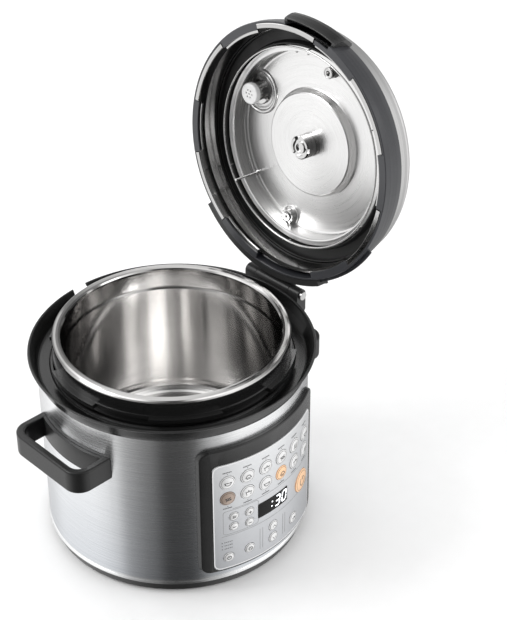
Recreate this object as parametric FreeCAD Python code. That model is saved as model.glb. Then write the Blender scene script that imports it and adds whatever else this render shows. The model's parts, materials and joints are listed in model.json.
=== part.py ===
"""Electric pressure cooker with a hinged, turning lid, modelled with the lid open.

Millimetres, +Z up.  The origin is the centre of the base's underside, on the table.
The control panel faces -Y, the lid hinge is at +X and the drain is at +Y.
Azimuths are in degrees about +Z, 0 at -Y (the front) and 90 at +X (the hinge).
The lid is drawn shut, in line with the pot, and is then swung open about the hinge pin.
"""

import FreeCAD
import Part

import math
import os

Vec = FreeCAD.Vector
UP = Vec(0, 0, 1)
ORIGIN = Vec(0, 0, 0)

# ---- clearances ----
GAP = 0.4  # between pieces that move past each other
RUN_FIT = 0.05  # radial, shaft in bore
SEAT = 0.05  # between pieces that are fixed together

# ---- housing ----
SHELL_R = 136.5
SHELL_T = 0.8
SHELL_Z0, SHELL_Z1 = 14.0, 197.0
HEM_R, HEM_H = 137.4, 3.2
BASE_R_TOP, BASE_R_LOW = 135.4, 133.6
BASE_Z0 = 1.2
FOOT_R, FOOT_RING_R = 10.0, 112.0
BOSS_R = 20.0

# ---- collar round the pot ----
COLLAR_R = 144.7
COLLAR_TOP = 213.6
GUTTER_FLOOR = 198.0
COLLAR_FIT_R = 135.4
COLLAR_IN_R = 120.2
RELIEF_AZ = (57.0, 141.0)

# ---- pots ----
POT_R_IN = 110.0
POT_T = 1.0
RIM_R = 119.5
RIM_TOP = 230.0
POT_FLOOR = 72.0
OUTER_POT_R, OUTER_POT_T = 118.6, 3.0
OUTER_POT_FLOOR = 58.0
TAB_R = 124.8
TAB_Z = (207.5, 212.0)
TAB_COUNT = 6
TAB_PITCH = 360.0 / TAB_COUNT
TAB_AZ = -97.0
TAB_WIDTH = 33.0  # degrees of arc
TAB_HALF = (TAB_PITCH - TAB_WIDTH) / 2 - 1.6
PAD_HALF = TAB_HALF + 0.6
SWING_RELIEF_AZ = (65.0, 101.0)  # the ring is cut back here to swing past the pot's tab
SENSOR_CUP_FLOOR = 38.0

# ---- lid ----
HINGE_X, HINGE_Z = 152.5, 212.0
HINGE_Y = 4.0
HINGE_HALF = 38.0
PIN_R = 3.0
BARREL_R = 6.5
LID_OPEN = 97.4
LID_MOUTH = 200.0
LID_R = 133.5
LID_T = 2.0
RING_R, RING_T = 127.5, 1.5
FLANGE_R = 131.2
LID_TAB_R = 122.4
COVER_R = 128.6
COVER_Z = 229.0
COVER_TOP = 266.0
PLATE_R = 104.6
PLATE_WALL_R = 98.2
PLATE_LIP = 226.6
PLATE_FLOOR = 246.2
PLATE_T = 0.8
DISC_R, DISC_Z = 53.0, 237.5
NUT_R, NUT_Z = 12.4, 222.6
GRIP_AZ, GRIP_HALF = -84.3, 14.3
GRIP_R = 137.7
POCKET_R = (129.5, 136.4)
VALVE_AZ, VALVE_R = -160.0, 86.5
FLOAT_AZ, FLOAT_R = 103.0, 93.0
SAFETY_AZ, SAFETY_R = -80.0, 83.5
PLATE_HOOKS = ((95.6, -109.0), (94.0, -99.5))
PIN_AZ, PIN_AT_R, PIN_TIP_Z = 140.3, 96.3, 212.5

# ---- panel ----
PANEL_AZ = 33.4
PANEL_Z = (25.5, 180.5)
PANEL_R = 141.2
FASCIA_AZ = 28.2
FASCIA_Z = (28.6, 162.6)
FASCIA_R = 141.9
COLUMN_PITCH = 8.85
MENU_ROWS_Z = (140.0, 120.0)
DISPLAY_AZ = (-8.4, 8.4)
DISPLAY_Z = (78.6, 97.0)
BUTTON_IN_R = 136.4
SWITCH_TOP_R = 135.2

# ---- handles ----
HANDLE_Z = (140.5, 165.5)
HANDLE_REACH = 169.0
HANDLE_HALF = 49.0
HANDLE_T = 8.0
HANDLE_TURN = -1.7


def save(name, shape):
    """Write one node, as one solid or a compound of solids."""
    solids = shape.removeSplitter().Solids
    shape = solids[0] if len(solids) == 1 else Part.makeCompound(solids)
    shape.exportStep("parts/%s.step" % name)


def revolve(points, angle=360.0, start=0.0):
    """Turn a closed (radius, height) outline about Z, from azimuth start on."""
    wire = Part.makePolygon([Vec(r, 0, z) for r, z in points + points[:1]])
    solid = Part.Face(wire).revolve(ORIGIN, UP, angle)
    solid.rotate(ORIGIN, UP, start - 90.0)
    return solid


def ring(r_in, r_out, z0, z1):
    return revolve([(r_in, z0), (r_out, z0), (r_out, z1), (r_in, z1)])


def arc_ring(r_in, r_out, z0, z1, az0, az1):
    return revolve([(r_in, z0), (r_out, z0), (r_out, z1), (r_in, z1)], az1 - az0, az0)


def disc(radius, z0, z1, x=0.0, y=0.0):
    return Part.makeCylinder(radius, z1 - z0, Vec(x, y, z0))


def box(x0, x1, y0, y1, z0, z1):
    return Part.makeBox(x1 - x0, y1 - y0, z1 - z0, Vec(x0, y0, z0))


def polar(radius, azimuth):
    a = math.radians(azimuth)
    return radius * math.sin(a), -radius * math.cos(a)


def turned(shape, azimuth):
    """A copy of a front-facing shape, turned to an azimuth."""
    copy = shape.copy()
    copy.rotate(ORIGIN, UP, azimuth)
    return copy


def around(shape, count, start=0.0):
    pitch = 360.0 / count
    return [turned(shape, start + i * pitch) for i in range(count)]


def radial_pin(radius, r0, r1, azimuth, z):
    """A cylinder pointing outward from the axis at one azimuth and height."""
    pin = Part.makeCylinder(radius, r1 - r0, Vec(0, -r0, z), Vec(0, -1, 0))
    return turned(pin, azimuth)


def y_rod(radius, y0, y1, x, z):
    return Part.makeCylinder(radius, y1 - y0, Vec(x, y0, z), Vec(0, 1, 0))


def soften(shape, radius, keep):
    """Round the edges that the test keeps."""
    edges = [e for e in shape.Edges if keep(e)]
    return shape.makeFillet(radius, edges) if edges else shape


def opened(shape):
    """Swing a piece of the shut lid to the open position."""
    copy = shape.copy()
    copy.rotate(Vec(HINGE_X, 0, HINGE_Z), Vec(0, 1, 0), LID_OPEN)
    return copy


def window(half_width, z0, z1, corner, x_mid=0.0):
    """A rounded block along Y that marks out an area on the front of the housing."""
    block = box(x_mid - half_width, x_mid + half_width, -170, -60, z0, z1)
    return soften(block, corner, lambda e: abs(e.tangentAt(e.FirstParameter).y) > 0.99)


def front_area(half_azimuth, radius, z0, z1, corner):
    return window(radius * math.sin(math.radians(half_azimuth)), z0, z1, corner)


# ---------------- housing ----------------


def inlet_cut():
    return box(-16.3, 16.3, 100, 150, 30.7, 57.3)


def outer_housing():
    inner = SHELL_R - SHELL_T
    shell = revolve(
        [
            (inner, SHELL_Z0 - 1.2),
            (HEM_R, SHELL_Z0 - 1.2),
            (HEM_R, SHELL_Z0 + HEM_H - 1.8),
            (SHELL_R, SHELL_Z0 + HEM_H - 1.0),
            (SHELL_R, SHELL_Z1),
            (inner, SHELL_Z1),
        ]
    )
    opening = front_area(PANEL_AZ - 3.0, SHELL_R, PANEL_Z[0] + 6, PANEL_Z[1] - 6, 6.0)
    shell = shell.cut(opening).cut(inlet_cut())
    for azimuth, z in handle_screw_places():
        shell = shell.cut(radial_pin(2.4, SHELL_R - 5, SHELL_R + 5, azimuth, z))
    return shell


def base_cover():
    tray = revolve(
        [
            (0, BASE_Z0),
            (BASE_R_LOW - 1.4, BASE_Z0),
            (BASE_R_LOW, BASE_Z0 + 1.4),
            (BASE_R_TOP, SHELL_Z0 - 1.4),
            (BASE_R_TOP, SHELL_Z0 - 0.6),
            (BASE_R_TOP - 0.4, SHELL_Z0 - 0.6),
            (BASE_R_TOP - 0.4, SHELL_Z0 + 10),
            (BASE_R_TOP - 2.8, SHELL_Z0 + 10),
            (BASE_R_TOP - 2.8, BASE_Z0 + 5),
            (BASE_R_LOW - 4, BASE_Z0 + 2.5),
            (0, BASE_Z0 + 2.5),
        ]
    )
    inner_lip = ring(BASE_R_TOP - 0.5, BASE_R_TOP + 0.5, SHELL_Z0 - 1.3, SHELL_Z0 + 11)
    tray = tray.cut(inner_lip)
    tray = tray.fuse(disc(BOSS_R, 0, BASE_Z0 + 1))
    slot = box(-1.6, 1.6, -92, -52, -1, BASE_Z0 + 4)
    for cut in around(slot, 24):
        tray = tray.cut(cut)
    for x, y in base_screw_places():
        tray = tray.cut(disc(2.2, -1, 12, x, y)).cut(disc(4.4, -1, BASE_Z0 + 1.0, x, y))
    for x, y in foot_places():
        tray = tray.cut(disc(4.05, -1, 12, x, y))
    return tray


def foot_places():
    return [polar(FOOT_RING_R, az) for az in (40, 140, 220, 320)]


def base_screw_places():
    return [polar(FOOT_RING_R, az) for az in (0, 90, 180, 270)]


def rubber_feet():
    feet = []
    for x, y in foot_places():
        foot = disc(FOOT_R, 0, BASE_Z0 - SEAT, x, y)
        feet.append(foot.fuse(disc(4.0, 1.0, BASE_Z0 + 6, x, y)))
    return Part.makeCompound(feet)


def housing_screws():
    """Four screws through the base and two behind each handle arm."""
    screws = []
    for x, y in base_screw_places():
        head = disc(4.0, BASE_Z0 - 1.2, BASE_Z0 + 1.0 - SEAT, x, y)
        screws.append(head.fuse(disc(1.95, BASE_Z0, 24, x, y)))
    for azimuth, z in handle_screw_places():
        shank = radial_pin(1.9, SHELL_R - 6, SHELL_R + 2.2, azimuth, z)
        head = radial_pin(4.0, SHELL_R - 6, SHELL_R - SHELL_T - 0.4, azimuth, z)
        screws.append(shank.fuse(head))
    return Part.makeCompound(screws)


def chassis_plate():
    """The steel plate over the base: four legs for the outer pot, a cup for the sensor."""
    plate = ring(14.2, 122, 38.0, 40.0)
    plate = plate.fuse(ring(14.2, 16.0, SENSOR_CUP_FLOOR, 59.9))
    plate = plate.fuse(disc(16.0, SENSOR_CUP_FLOOR - 1.6, SENSOR_CUP_FLOOR))
    legs = around(box(-9, 9, -112, -104, 39.0, OUTER_POT_FLOOR - SEAT), 4, 45)
    for leg in legs:
        plate = plate.fuse(leg)
    for x, y in base_screw_places():
        plate = plate.fuse(disc(5.0, BASE_Z0 + 2.6, 38.5, x, y))
        plate = plate.cut(disc(2.0, BASE_Z0, 30, x, y))
    return plate


def top_collar():
    """Wide collar: sloped outer skirt, lip, gutter for condensation and inner upstand."""
    under = SHELL_Z1 + SEAT
    section = [
        (SHELL_R + 0.9, under),
        (138.4, 200.0),
        (140.7, 208.6),
        (140.7, 209.4),
        (142.8, 210.2),
        (144.3, 211.4),
        (COLLAR_R, 212.6),
        (143.9, COLLAR_TOP),
        (142.2, COLLAR_TOP - 0.4),
        (139.0, 206.0),
        (137.0, 201.0),
        (135.4, GUTTER_FLOOR + 0.6),
        (133.6, GUTTER_FLOOR),
        (124.0, GUTTER_FLOOR),
        (122.4, 200.0),
        (COLLAR_IN_R, 200.0),
        (COLLAR_IN_R, 192.0),
        (COLLAR_IN_R + 2, 192.0),
        (123.0, GUTTER_FLOOR - 2.2),
        (COLLAR_FIT_R, GUTTER_FLOOR - 2.2),
        (COLLAR_FIT_R, under),
    ]
    collar = revolve(section)
    wall_in, wall_out = 141.4, 144.2
    relief_in = [(126.0, GUTTER_FLOOR), (wall_in, GUTTER_FLOOR), (wall_in, 216), (126.0, 216)]
    relief_out = [
        (SHELL_R + 0.3, under),
        (143.0, under),
        (wall_out, under + 1.2),
        (wall_out, 211.0),
        (wall_in, 211.0),
        (wall_in, GUTTER_FLOOR),
        (SHELL_R + 0.3, GUTTER_FLOOR),
    ]
    start, sweep = RELIEF_AZ[0], RELIEF_AZ[1] - RELIEF_AZ[0]
    collar = collar.cut(revolve(relief_in, sweep - 4, start + 2))
    collar = collar.fuse(revolve(relief_out, sweep, start))
    drain = box(-9, 9, 137.2, 150, 203, 216)
    return collar.cut(drain)


def outer_pot():
    """Pressure-bearing outer pot, with a rim that carries six bayonet tabs."""
    r_in = OUTER_POT_R - OUTER_POT_T
    top = RIM_TOP - 4.4
    pot = revolve(
        [
            (97.5, OUTER_POT_FLOOR),
            (OUTER_POT_R - 8, OUTER_POT_FLOOR),
            (OUTER_POT_R - 2, OUTER_POT_FLOOR + 3),
            (OUTER_POT_R, OUTER_POT_FLOOR + 9),
            (OUTER_POT_R, top),
            (r_in, top),
            (r_in, OUTER_POT_FLOOR + 8),
            (r_in - 2, OUTER_POT_FLOOR + 4),
            (r_in - 6, OUTER_POT_FLOOR + 3),
            (97.5, OUTER_POT_FLOOR + 3),
        ]
    )
    for i in range(TAB_COUNT):
        middle = TAB_AZ + i * TAB_PITCH
        tab = arc_ring(
            OUTER_POT_R - 1, TAB_R, *TAB_Z, middle - TAB_WIDTH / 2, middle + TAB_WIDTH / 2
        )
        pot = pot.fuse(tab)
    return pot.fuse(ring(OUTER_POT_R - 1, OUTER_POT_R + 1.0, *TAB_Z))


def heating_plate():
    """Cast aluminium plate with the tubular element cast into its underside."""
    plate = revolve(
        [
            (14.0, 60.0),
            (93.0, 60.0),
            (97.0, 62.0),
            (97.0, 67.2),
            (94.0, 70.0),
            (14.0, 70.0),
        ]
    )
    return plate



def temperature_sensor():
    can = disc(11.5, 62.0, 70.4)
    return can.fuse(disc(13.2, 58.0, 62.0))


def sensor_spring():
    """Coil spring under the sensor."""
    foot = SENSOR_CUP_FLOOR + 0.9
    wire = Part.makeHelix(3.6, 18.0, 9.0)
    wire.translate(Vec(0, 0, foot))
    start = Vec(9.0, 0, foot)
    profile = Part.Wire(Part.makeCircle(0.6, start, Vec(0, 1, 0)))
    return Part.Wire(wire).makePipeShell([profile], True, True)


def inner_pot():
    """Removable stainless pot: rolled rim, stacking bead, rounded base."""
    corner = 14.0
    steps = 8
    r_out = POT_R_IN + POT_T
    outer, inner = [], []
    for i in range(steps + 1):
        a = math.radians(90.0 * i / steps)
        outer.append(
            (
                r_out - (corner + POT_T) * (1 - math.sin(a)),
                POT_FLOOR - POT_T + (corner + POT_T) * (1 - math.cos(a)),
            )
        )
        inner.append(
            (POT_R_IN - corner * (1 - math.sin(a)), POT_FLOOR + corner * (1 - math.cos(a)))
        )
    bead = RIM_TOP - 24.0
    outline = [(0, POT_FLOOR - POT_T)] + outer
    outline += [(r_out, bead - 2.5), (r_out + 1.0, bead), (r_out, bead + 2.5)]
    outline += [(r_out, RIM_TOP - 3.2), (r_out + 2.0, RIM_TOP - 2.4)]
    outline += [(RIM_R - 2.6, RIM_TOP - 2.6), (RIM_R - 2.6, RIM_TOP - 4.0)]
    outline += [(RIM_R - 0.8, RIM_TOP - 4.0), (RIM_R, RIM_TOP - 2.8), (RIM_R - 0.4, RIM_TOP - 1.2)]
    outline += [(RIM_R - 1.8, RIM_TOP - 0.3), (RIM_R - 4.0, RIM_TOP), (POT_R_IN + 3.2, RIM_TOP)]
    outline += [(POT_R_IN + 1.2, RIM_TOP - 0.6), (POT_R_IN + 0.2, RIM_TOP - 2.0)]
    outline += [(POT_R_IN, RIM_TOP - 4.0)]
    outline += [(POT_R_IN, bead + 2.2), (POT_R_IN + 0.9, bead), (POT_R_IN, bead - 2.2)]
    outline += list(reversed(inner)) + [(0, POT_FLOOR)]
    return revolve(outline)


# ---------------- handles ----------------


def handle_screw_places():
    places = []
    for side in (-90.0, 90.0):
        for azimuth in (-19.5, 19.5):
            places.append((side + HANDLE_TURN + azimuth, 153.0))
    return places


def handle():
    """D-shaped side handle at -X: curved mounting strip, two arms and a grip bar."""
    z0, z1 = HANDLE_Z
    foot_r = SHELL_R + 0.3
    strip = arc_ring(foot_r, foot_r + 3.2, z0 + 0.5, z1 - 0.5, -90 - 21.5, -90 + 21.5)
    loop = box(-HANDLE_REACH, -110, -HANDLE_HALF - 3, HANDLE_HALF + 3, z0, z1)
    loop = soften(
        loop,
        17.0,
        lambda e: abs(e.tangentAt(e.FirstParameter).z) > 0.99 and e.BoundBox.XMax < -150,
    )
    hole = box(
        -HANDLE_REACH + HANDLE_T,
        -100,
        -HANDLE_HALF + 5,
        HANDLE_HALF - 5,
        z0 - 1,
        z1 + 1,
    )
    hole = soften(
        hole,
        11.0,
        lambda e: abs(e.tangentAt(e.FirstParameter).z) > 0.99 and e.BoundBox.XMax < -150,
    )
    loop = loop.cut(hole)
    loop = soften(
        loop,
        2.2,
        lambda e: abs(e.tangentAt(e.FirstParameter).z) < 0.01 and e.BoundBox.XMin < -140,
    )
    solid = loop.fuse(strip).cut(disc(foot_r, z0 - 5, z1 + 5))
    solid = turned(solid, HANDLE_TURN)
    for azimuth, z in handle_screw_places():
        if azimuth < 0:
            solid = solid.cut(radial_pin(2.0, 130, foot_r + 2.0, azimuth, z))
    return solid


# ---------------- control panel ----------------


def button_table():
    """Every push button: (name, azimuth, height, radius)."""
    buttons = []
    number = 0
    for z in MENU_ROWS_Z:
        for column in range(6):
            number += 1
            azimuth = (column - 2.5) * COLUMN_PITCH
            buttons.append(("menu_button_%d" % number, azimuth, z, 7.8))
    buttons.append(("start_stop_button", 19.8, 82.8, 12.6))
    buttons += [
        ("steam_button", -19.6, 95.0, 5.0),
        ("warm_button", -19.6, 82.0, 5.0),
        ("plus_button", -12.5, 93.6, 5.0),
        ("minus_button", -12.5, 80.2, 5.0),
    ]
    buttons += [
        ("delay_button", -22.0, 43.4, 5.6),
        ("select_button", -12.5, 45.8, 5.6),
        ("time_up_button", -0.3, 58.4, 5.8),
        ("time_down_button", -0.3, 43.2, 5.8),
        ("mode_button", 12.8, 46.2, 6.2),
    ]
    return buttons


def panel_holes(clearance):
    return [
        radial_pin(radius + clearance, 128, 150, azimuth, z)
        for name, azimuth, z, radius in button_table()
    ]


def display_area(margin):
    middle = sum(DISPLAY_AZ) / 2
    half = (DISPLAY_AZ[1] - DISPLAY_AZ[0]) / 2
    width = FASCIA_R * math.sin(math.radians(half)) + margin
    area = window(width, DISPLAY_Z[0] - margin, DISPLAY_Z[1] + margin, 1.5)
    return turned(area, middle)


def control_panel_housing():
    """Black frame: a bezel outside the shell, a neck through it and a button plate."""
    bezel = ring(SHELL_R + 0.15, PANEL_R, PANEL_Z[0], PANEL_Z[1]).common(
        front_area(PANEL_AZ, PANEL_R, *PANEL_Z, 10.0)
    )
    bezel = soften_panel(bezel)
    seat_area = front_area(FASCIA_AZ + 0.15, PANEL_R, FASCIA_Z[0] - 0.3, FASCIA_Z[1] + 0.3, 6.0)
    pocket = ring(139.6, 160, 0, 200).common(seat_area)
    neck_area = front_area(PANEL_AZ - 3.4, SHELL_R, PANEL_Z[0] + 6.4, PANEL_Z[1] - 6.4, 5.6)
    neck = ring(134.6, SHELL_R + 0.5, PANEL_Z[0], PANEL_Z[1]).common(neck_area)
    hollow = ring(130, 137.2, 0, 200).common(
        front_area(PANEL_AZ - 5.0, SHELL_R, PANEL_Z[0] + 9, PANEL_Z[1] - 9, 4.0)
    )
    frame = bezel.fuse(neck).cut(hollow).cut(pocket)
    for hole in panel_holes(0.5):
        frame = frame.cut(hole)
    return frame.cut(display_area(-1.5))


def soften_panel(bezel):
    """Round the bezel's outer edge."""
    outer = [
        f
        for f in bezel.Faces
        if isinstance(f.Surface, Part.Cylinder) and abs(f.Surface.Radius - PANEL_R) < 0.01
    ]
    edges = [e for f in outer for e in f.Edges]
    return bezel.makeFillet(1.6, edges)


def panel_overlay():
    sheet = ring(139.7, FASCIA_R, 20, 170).common(
        front_area(FASCIA_AZ, PANEL_R, *FASCIA_Z, 5.7)
    )
    for hole in panel_holes(0.5):
        sheet = sheet.cut(hole)
    return sheet.cut(display_area(0.1))


def display_window():
    return ring(139.7, FASCIA_R + 0.15, 70, 105).common(display_area(0.0))


def display_module():
    return ring(133.4, 136.9, 70, 105).common(display_area(-2.5))


def control_board():
    """Board behind the buttons, with one key switch under each of them."""
    board = ring(130.6, 132.2, 36, 168).common(front_area(27.5, SHELL_R, 40, 166, 2.0))
    for name, azimuth, z, radius in button_table():
        board = board.fuse(radial_pin(2.4, 131.4, SWITCH_TOP_R, azimuth, z))
    return board


def button(azimuth, z, radius):
    """A domed cap on a short stem that rests over its key switch."""
    face = FASCIA_R + 0.5
    stem_r, stem_h = 2.0, 0.8
    dome = min(1.5, radius * 0.26)
    ball_r = (radius**2 + dome**2) / (2 * dome)
    latitude = math.degrees(math.asin(1 - dome / ball_r))
    centre = Vec(0, -(face + dome - ball_r), z)
    cap = Part.makeSphere(ball_r, centre, Vec(0, -1, 0), latitude, 90)
    cap = cap.fuse(radial_pin(radius, BUTTON_IN_R + stem_h, face, 0, z))
    cap = cap.fuse(radial_pin(stem_r, BUTTON_IN_R, BUTTON_IN_R + stem_h + 0.5, 0, z))
    return turned(cap, azimuth)


# ---------------- electrics ----------------


def power_inlet():
    body = box(-16, 16, 126, 137.2, 31, 57)
    flange = box(-21, 21, 136.9, 139.2, 26, 62)
    flange = soften(flange, 4.0, lambda e: abs(e.tangentAt(e.FirstParameter).y) > 0.99)
    socket = box(-12, 12, 128, 145, 35, 53)
    inlet = body.fuse(flange).cut(socket)
    for x, z in inlet_pin_places():
        inlet = inlet.fuse(box(x - 1, x + 1, 127, 133, z - 2.5, z + 2.5))
    return inlet


def inlet_pin_places():
    return [(-6.5, 41.0), (6.5, 41.0), (0.0, 47.0)]


def power_board():
    board = box(-34, 34, -50, 34, 28.0, 29.6)
    relay = box(-26, -10, -32, -14, 29.6, 35.8)
    capacitor = disc(6.0, 29.6, 37.5, 14, -20)
    return board.fuse(relay).fuse(capacitor)


# ---------------- condensation collector ----------------


def collector_mount():
    plate = arc_ring(SHELL_R + 0.2, SHELL_R + 2.6, 146, 190, 180 - 13.5, 180 + 13.5)
    rails = [box(s * 27 - 2, s * 27 + 2, 133, 158, 180, 183) for s in (-1, 1)]
    for rail in rails:
        plate = plate.fuse(rail)
    return plate.cut(disc(SHELL_R + 0.2, 100, 200))


def condensation_collector():
    cup = box(-24.4, 24.4, 130, 163, 148, 186)
    cup = soften(cup, 6.0, lambda e: abs(e.tangentAt(e.FirstParameter).z) > 0.99)
    hollow = box(-22.2, 22.2, 142.2, 160.8, 150.5, 190)
    hollow = soften(hollow, 4.0, lambda e: abs(e.tangentAt(e.FirstParameter).z) > 0.99)
    return cup.cut(hollow).cut(disc(SHELL_R + 3.2, 100, 200))


# ---------------- hinge ----------------


def hinge_span(start, end, radius=BARREL_R):
    return y_rod(radius, HINGE_Y + start, HINGE_Y + end, HINGE_X, HINGE_Z)


def hinge_base():
    """Bracket on the housing with one knuckle at each end of the pin."""
    y0, y1 = HINGE_Y - HINGE_HALF, HINGE_Y + HINGE_HALF
    profile = [
        (130.0, 168.0),
        (145.0, 172.0),
        (HINGE_X + BARREL_R, 192.0),
        (HINGE_X + BARREL_R, HINGE_Z),
        (HINGE_X - BARREL_R, HINGE_Z),
        (HINGE_X - BARREL_R, 196.0),
        (130.0, 190.0),
    ]
    wire = Part.makePolygon([Vec(x, y0, z) for x, z in profile + profile[:1]])
    block = Part.Face(wire).extrude(Vec(0, y1 - y0, 0))
    block = block.fuse(hinge_span(-HINGE_HALF, HINGE_HALF))
    inner = HINGE_HALF - 14.0
    middle = box(136, 170, HINGE_Y - inner, HINGE_Y + inner, 200.5, 230)
    block = block.cut(middle)
    block = block.cut(ring(0.5, SHELL_R + 0.2, 150, 230))
    block = block.cut(disc(SHELL_R + 0.2, 150, 230))
    block = block.cut(disc(COLLAR_R + 0.2, 194.2, 230))
    return block.cut(hinge_span(-HINGE_HALF - 1, HINGE_HALF + 1, PIN_R + 0.02))


def hinge_pin():
    pin = hinge_span(-HINGE_HALF - 1.0, HINGE_HALF + 1.0, PIN_R)
    head = hinge_span(-HINGE_HALF - 3.0, -HINGE_HALF - 0.5, PIN_R + 1.6)
    return pin.fuse(head)


def lid_carrier():
    """Arm that swings on the pin and holds the lid's edge in a curved groove."""
    inner = HINGE_HALF - 14.0 - GAP
    y0, y1 = HINGE_Y - inner, HINGE_Y + inner
    arc = arc_ring(LID_R + 0.5, 140.6, 201.5, 214.0, 63, 136)
    top = arc_ring(LID_R - 1.2, 141.4, 214.0, 216.4, 63, 136)
    arm = box(134, HINGE_X, y0, y1, 214.2, HINGE_Z + BARREL_R)
    arm = arm.cut(disc(LID_R + 0.5, 200, 230))
    arm = arm.fuse(hinge_span(-inner, inner))
    carrier = arc.fuse(top).fuse(arm)
    groove = ring(LID_R - 2, 137.6, 205.6, 208.4)
    lid_space = revolve(
        [
            (100, 190),
            (LID_R + 0.5, 190),
            (LID_R + 0.5, 209),
            (LID_R - 0.1, 217.5),
            (LID_R - 2.3, 222),
            (100, 240),
        ]
    )
    carrier = carrier.cut(groove).cut(lid_space)
    lip_room = ring(141.2, COLLAR_R + 1.0, 195, COLLAR_TOP + 0.5)
    carrier = carrier.cut(lip_room)
    return carrier.cut(hinge_span(-inner - 1, inner + 1, PIN_R + RUN_FIT))


# ---------------- lid ----------------


def rim_outline(offset):
    """Section of the lid's rim, with its outer side moved outward by the offset."""
    t = LID_T
    return [
        (LID_R - t, LID_MOUTH),
        (LID_R - 0.6 + offset, LID_MOUTH),
        (LID_R + offset, LID_MOUTH + 0.6),
        (LID_R + offset, 208.0),
        (LID_R - 0.8 + offset, 214.0),
        (LID_R - 2.0 + offset, 220.0),
        (COVER_R + 0.6 + offset, COVER_Z - 0.3 + offset),
        (COVER_R - 1.8, COVER_Z - 0.3 + offset),
        (COVER_R - 1.8, COVER_Z - 2.6),
        (LID_R - 2.2 - t, 218.6),
        (LID_R - 0.8 - t, 213.0),
        (LID_R - t, 207.6),
    ]


def tab_middles():
    """Azimuths of the lid's six bayonet tabs, half a pitch away from the pot's."""
    return [TAB_AZ + (i + 0.5) * TAB_PITCH for i in range(TAB_COUNT)]


def grip_pocket():
    """Finger pocket, open at the lid's mouth."""
    inner, outer = POCKET_R
    below, roof = LID_MOUTH - 5, 214.4
    return revolve(
        [
            (inner, below),
            (outer, below),
            (outer, LID_MOUTH + 4),
            (outer + 1.0, LID_MOUTH + 8),
            (outer + 2.0, roof),
            (inner, roof),
        ],
        2 * GRIP_HALF - 3.2,
        GRIP_AZ - GRIP_HALF + 1.6,
    )


def lid_rim():
    """Black outer ring of the lid: skirt, groove rib and a pad in front of each tab."""
    rim = revolve(rim_outline(0.0))
    rim = rim.fuse(arc_ring(LID_R - 0.5, 137.0, 206.0, 208.0, 28, 171))
    for middle in tab_middles():
        pad = arc_ring(125.0, LID_R - 0.8, LID_MOUTH, 201.6, middle - PAD_HALF, middle + PAD_HALF)
        rim = rim.fuse(pad)
    return rim.cut(grip_pocket())


def lid_grip():
    """Front grip: a bulge on the rim around the finger pocket."""
    block = revolve(
        [
            (LID_R - 1.0, 203.4),
            (GRIP_R - 0.6, 203.4),
            (GRIP_R, 204.2),
            (GRIP_R + 1.6, 209.0),
            (GRIP_R + 2.6, 214.0),
            (GRIP_R + 2.2, 219.0),
            (GRIP_R - 1.0, 225.0),
            (GRIP_R - 5.0, 230.4),
            (COVER_R + 1.0, 232.0),
            (COVER_R + 0.3, 231.0),
            (COVER_R + 0.3, COVER_Z + SEAT),
            (LID_R - 3.1, 219.4),
            (LID_R - 1.8, 213.6),
            (LID_R - 1.0, 208.0),
        ],
        2 * GRIP_HALF,
        GRIP_AZ - GRIP_HALF,
    )
    return block.cut(revolve(rim_outline(SEAT))).cut(grip_pocket())


def cover_outline(offset):
    """The steel cover's outer outline from its lower edge to the axis, moved inward."""
    points = [
        (COVER_R - offset, COVER_Z),
        (COVER_R - 1.5 - offset, 236.0),
        (COVER_R - 3.8 - offset, 243.0),
    ]
    corner_r, corner_z, bend = 114.8, 243.0, 10.0 - offset
    for i in range(1, 6):
        a = math.radians(15.0 * i)
        points.append((corner_r + bend * math.cos(a), corner_z + bend * math.sin(a)))
    edge_r, edge_z = points[-1]
    top = COVER_TOP - offset
    steps = 7
    for i in range(1, steps):
        r = edge_r * (1 - i / steps)
        points.append((r, edge_z + (top - edge_z) * (1 - (r / edge_r) ** 2)))
    points.append((0.0, top))
    return points


def lid_cover():
    outline = cover_outline(0.0) + list(reversed(cover_outline(1.0)))
    cover = revolve(outline)
    x, y = polar(VALVE_R, VALVE_AZ)
    return cover.cut(disc(11.4, 240, 280, x, y))


def lid_locking_ring():
    """Steel ring: wall, shoulder, bright front flange and six tabs that turn under the pot's."""
    t = RING_T
    steel = revolve(
        [
            (RING_R - t, 202.0),
            (RING_R, 202.0),
            (RING_R, 212.6),
            (123.8, 223.4),
            (123.8, 237.6),
            (123.8 - t, 237.6),
            (123.8 - t, 222.8),
            (RING_R - t, 212.0),
        ]
    )
    front = LID_MOUTH - 0.4
    for middle in tab_middles():
        tab = arc_ring(LID_TAB_R, RING_R - 0.5, 202.0, 204.0, middle - TAB_HALF, middle + TAB_HALF)
        start = middle + PAD_HALF + 0.4
        sweep = TAB_PITCH - 2 * PAD_HALF - 0.8
        flange = revolve(
            [
                (RING_R - t, front + 0.6),
                (RING_R - t + 0.6, front),
                (FLANGE_R - 0.5, front),
                (FLANGE_R, front + 0.5),
                (FLANGE_R, front + 1.6),
                (FLANGE_R - 0.9, front + 1.6),
                (FLANGE_R - 0.9, front + 1.0),
                (RING_R, front + 1.0),
                (RING_R, 203.0),
                (RING_R - t, 203.0),
            ],
            sweep,
            start,
        )
        steel = steel.fuse(tab).fuse(flange)
    relief_z = HINGE_Z - 5.8
    relief = arc_ring(RING_R - 3, FLANGE_R + 1, LID_MOUTH - 3, relief_z, *SWING_RELIEF_AZ)
    return steel.cut(relief)


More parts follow.
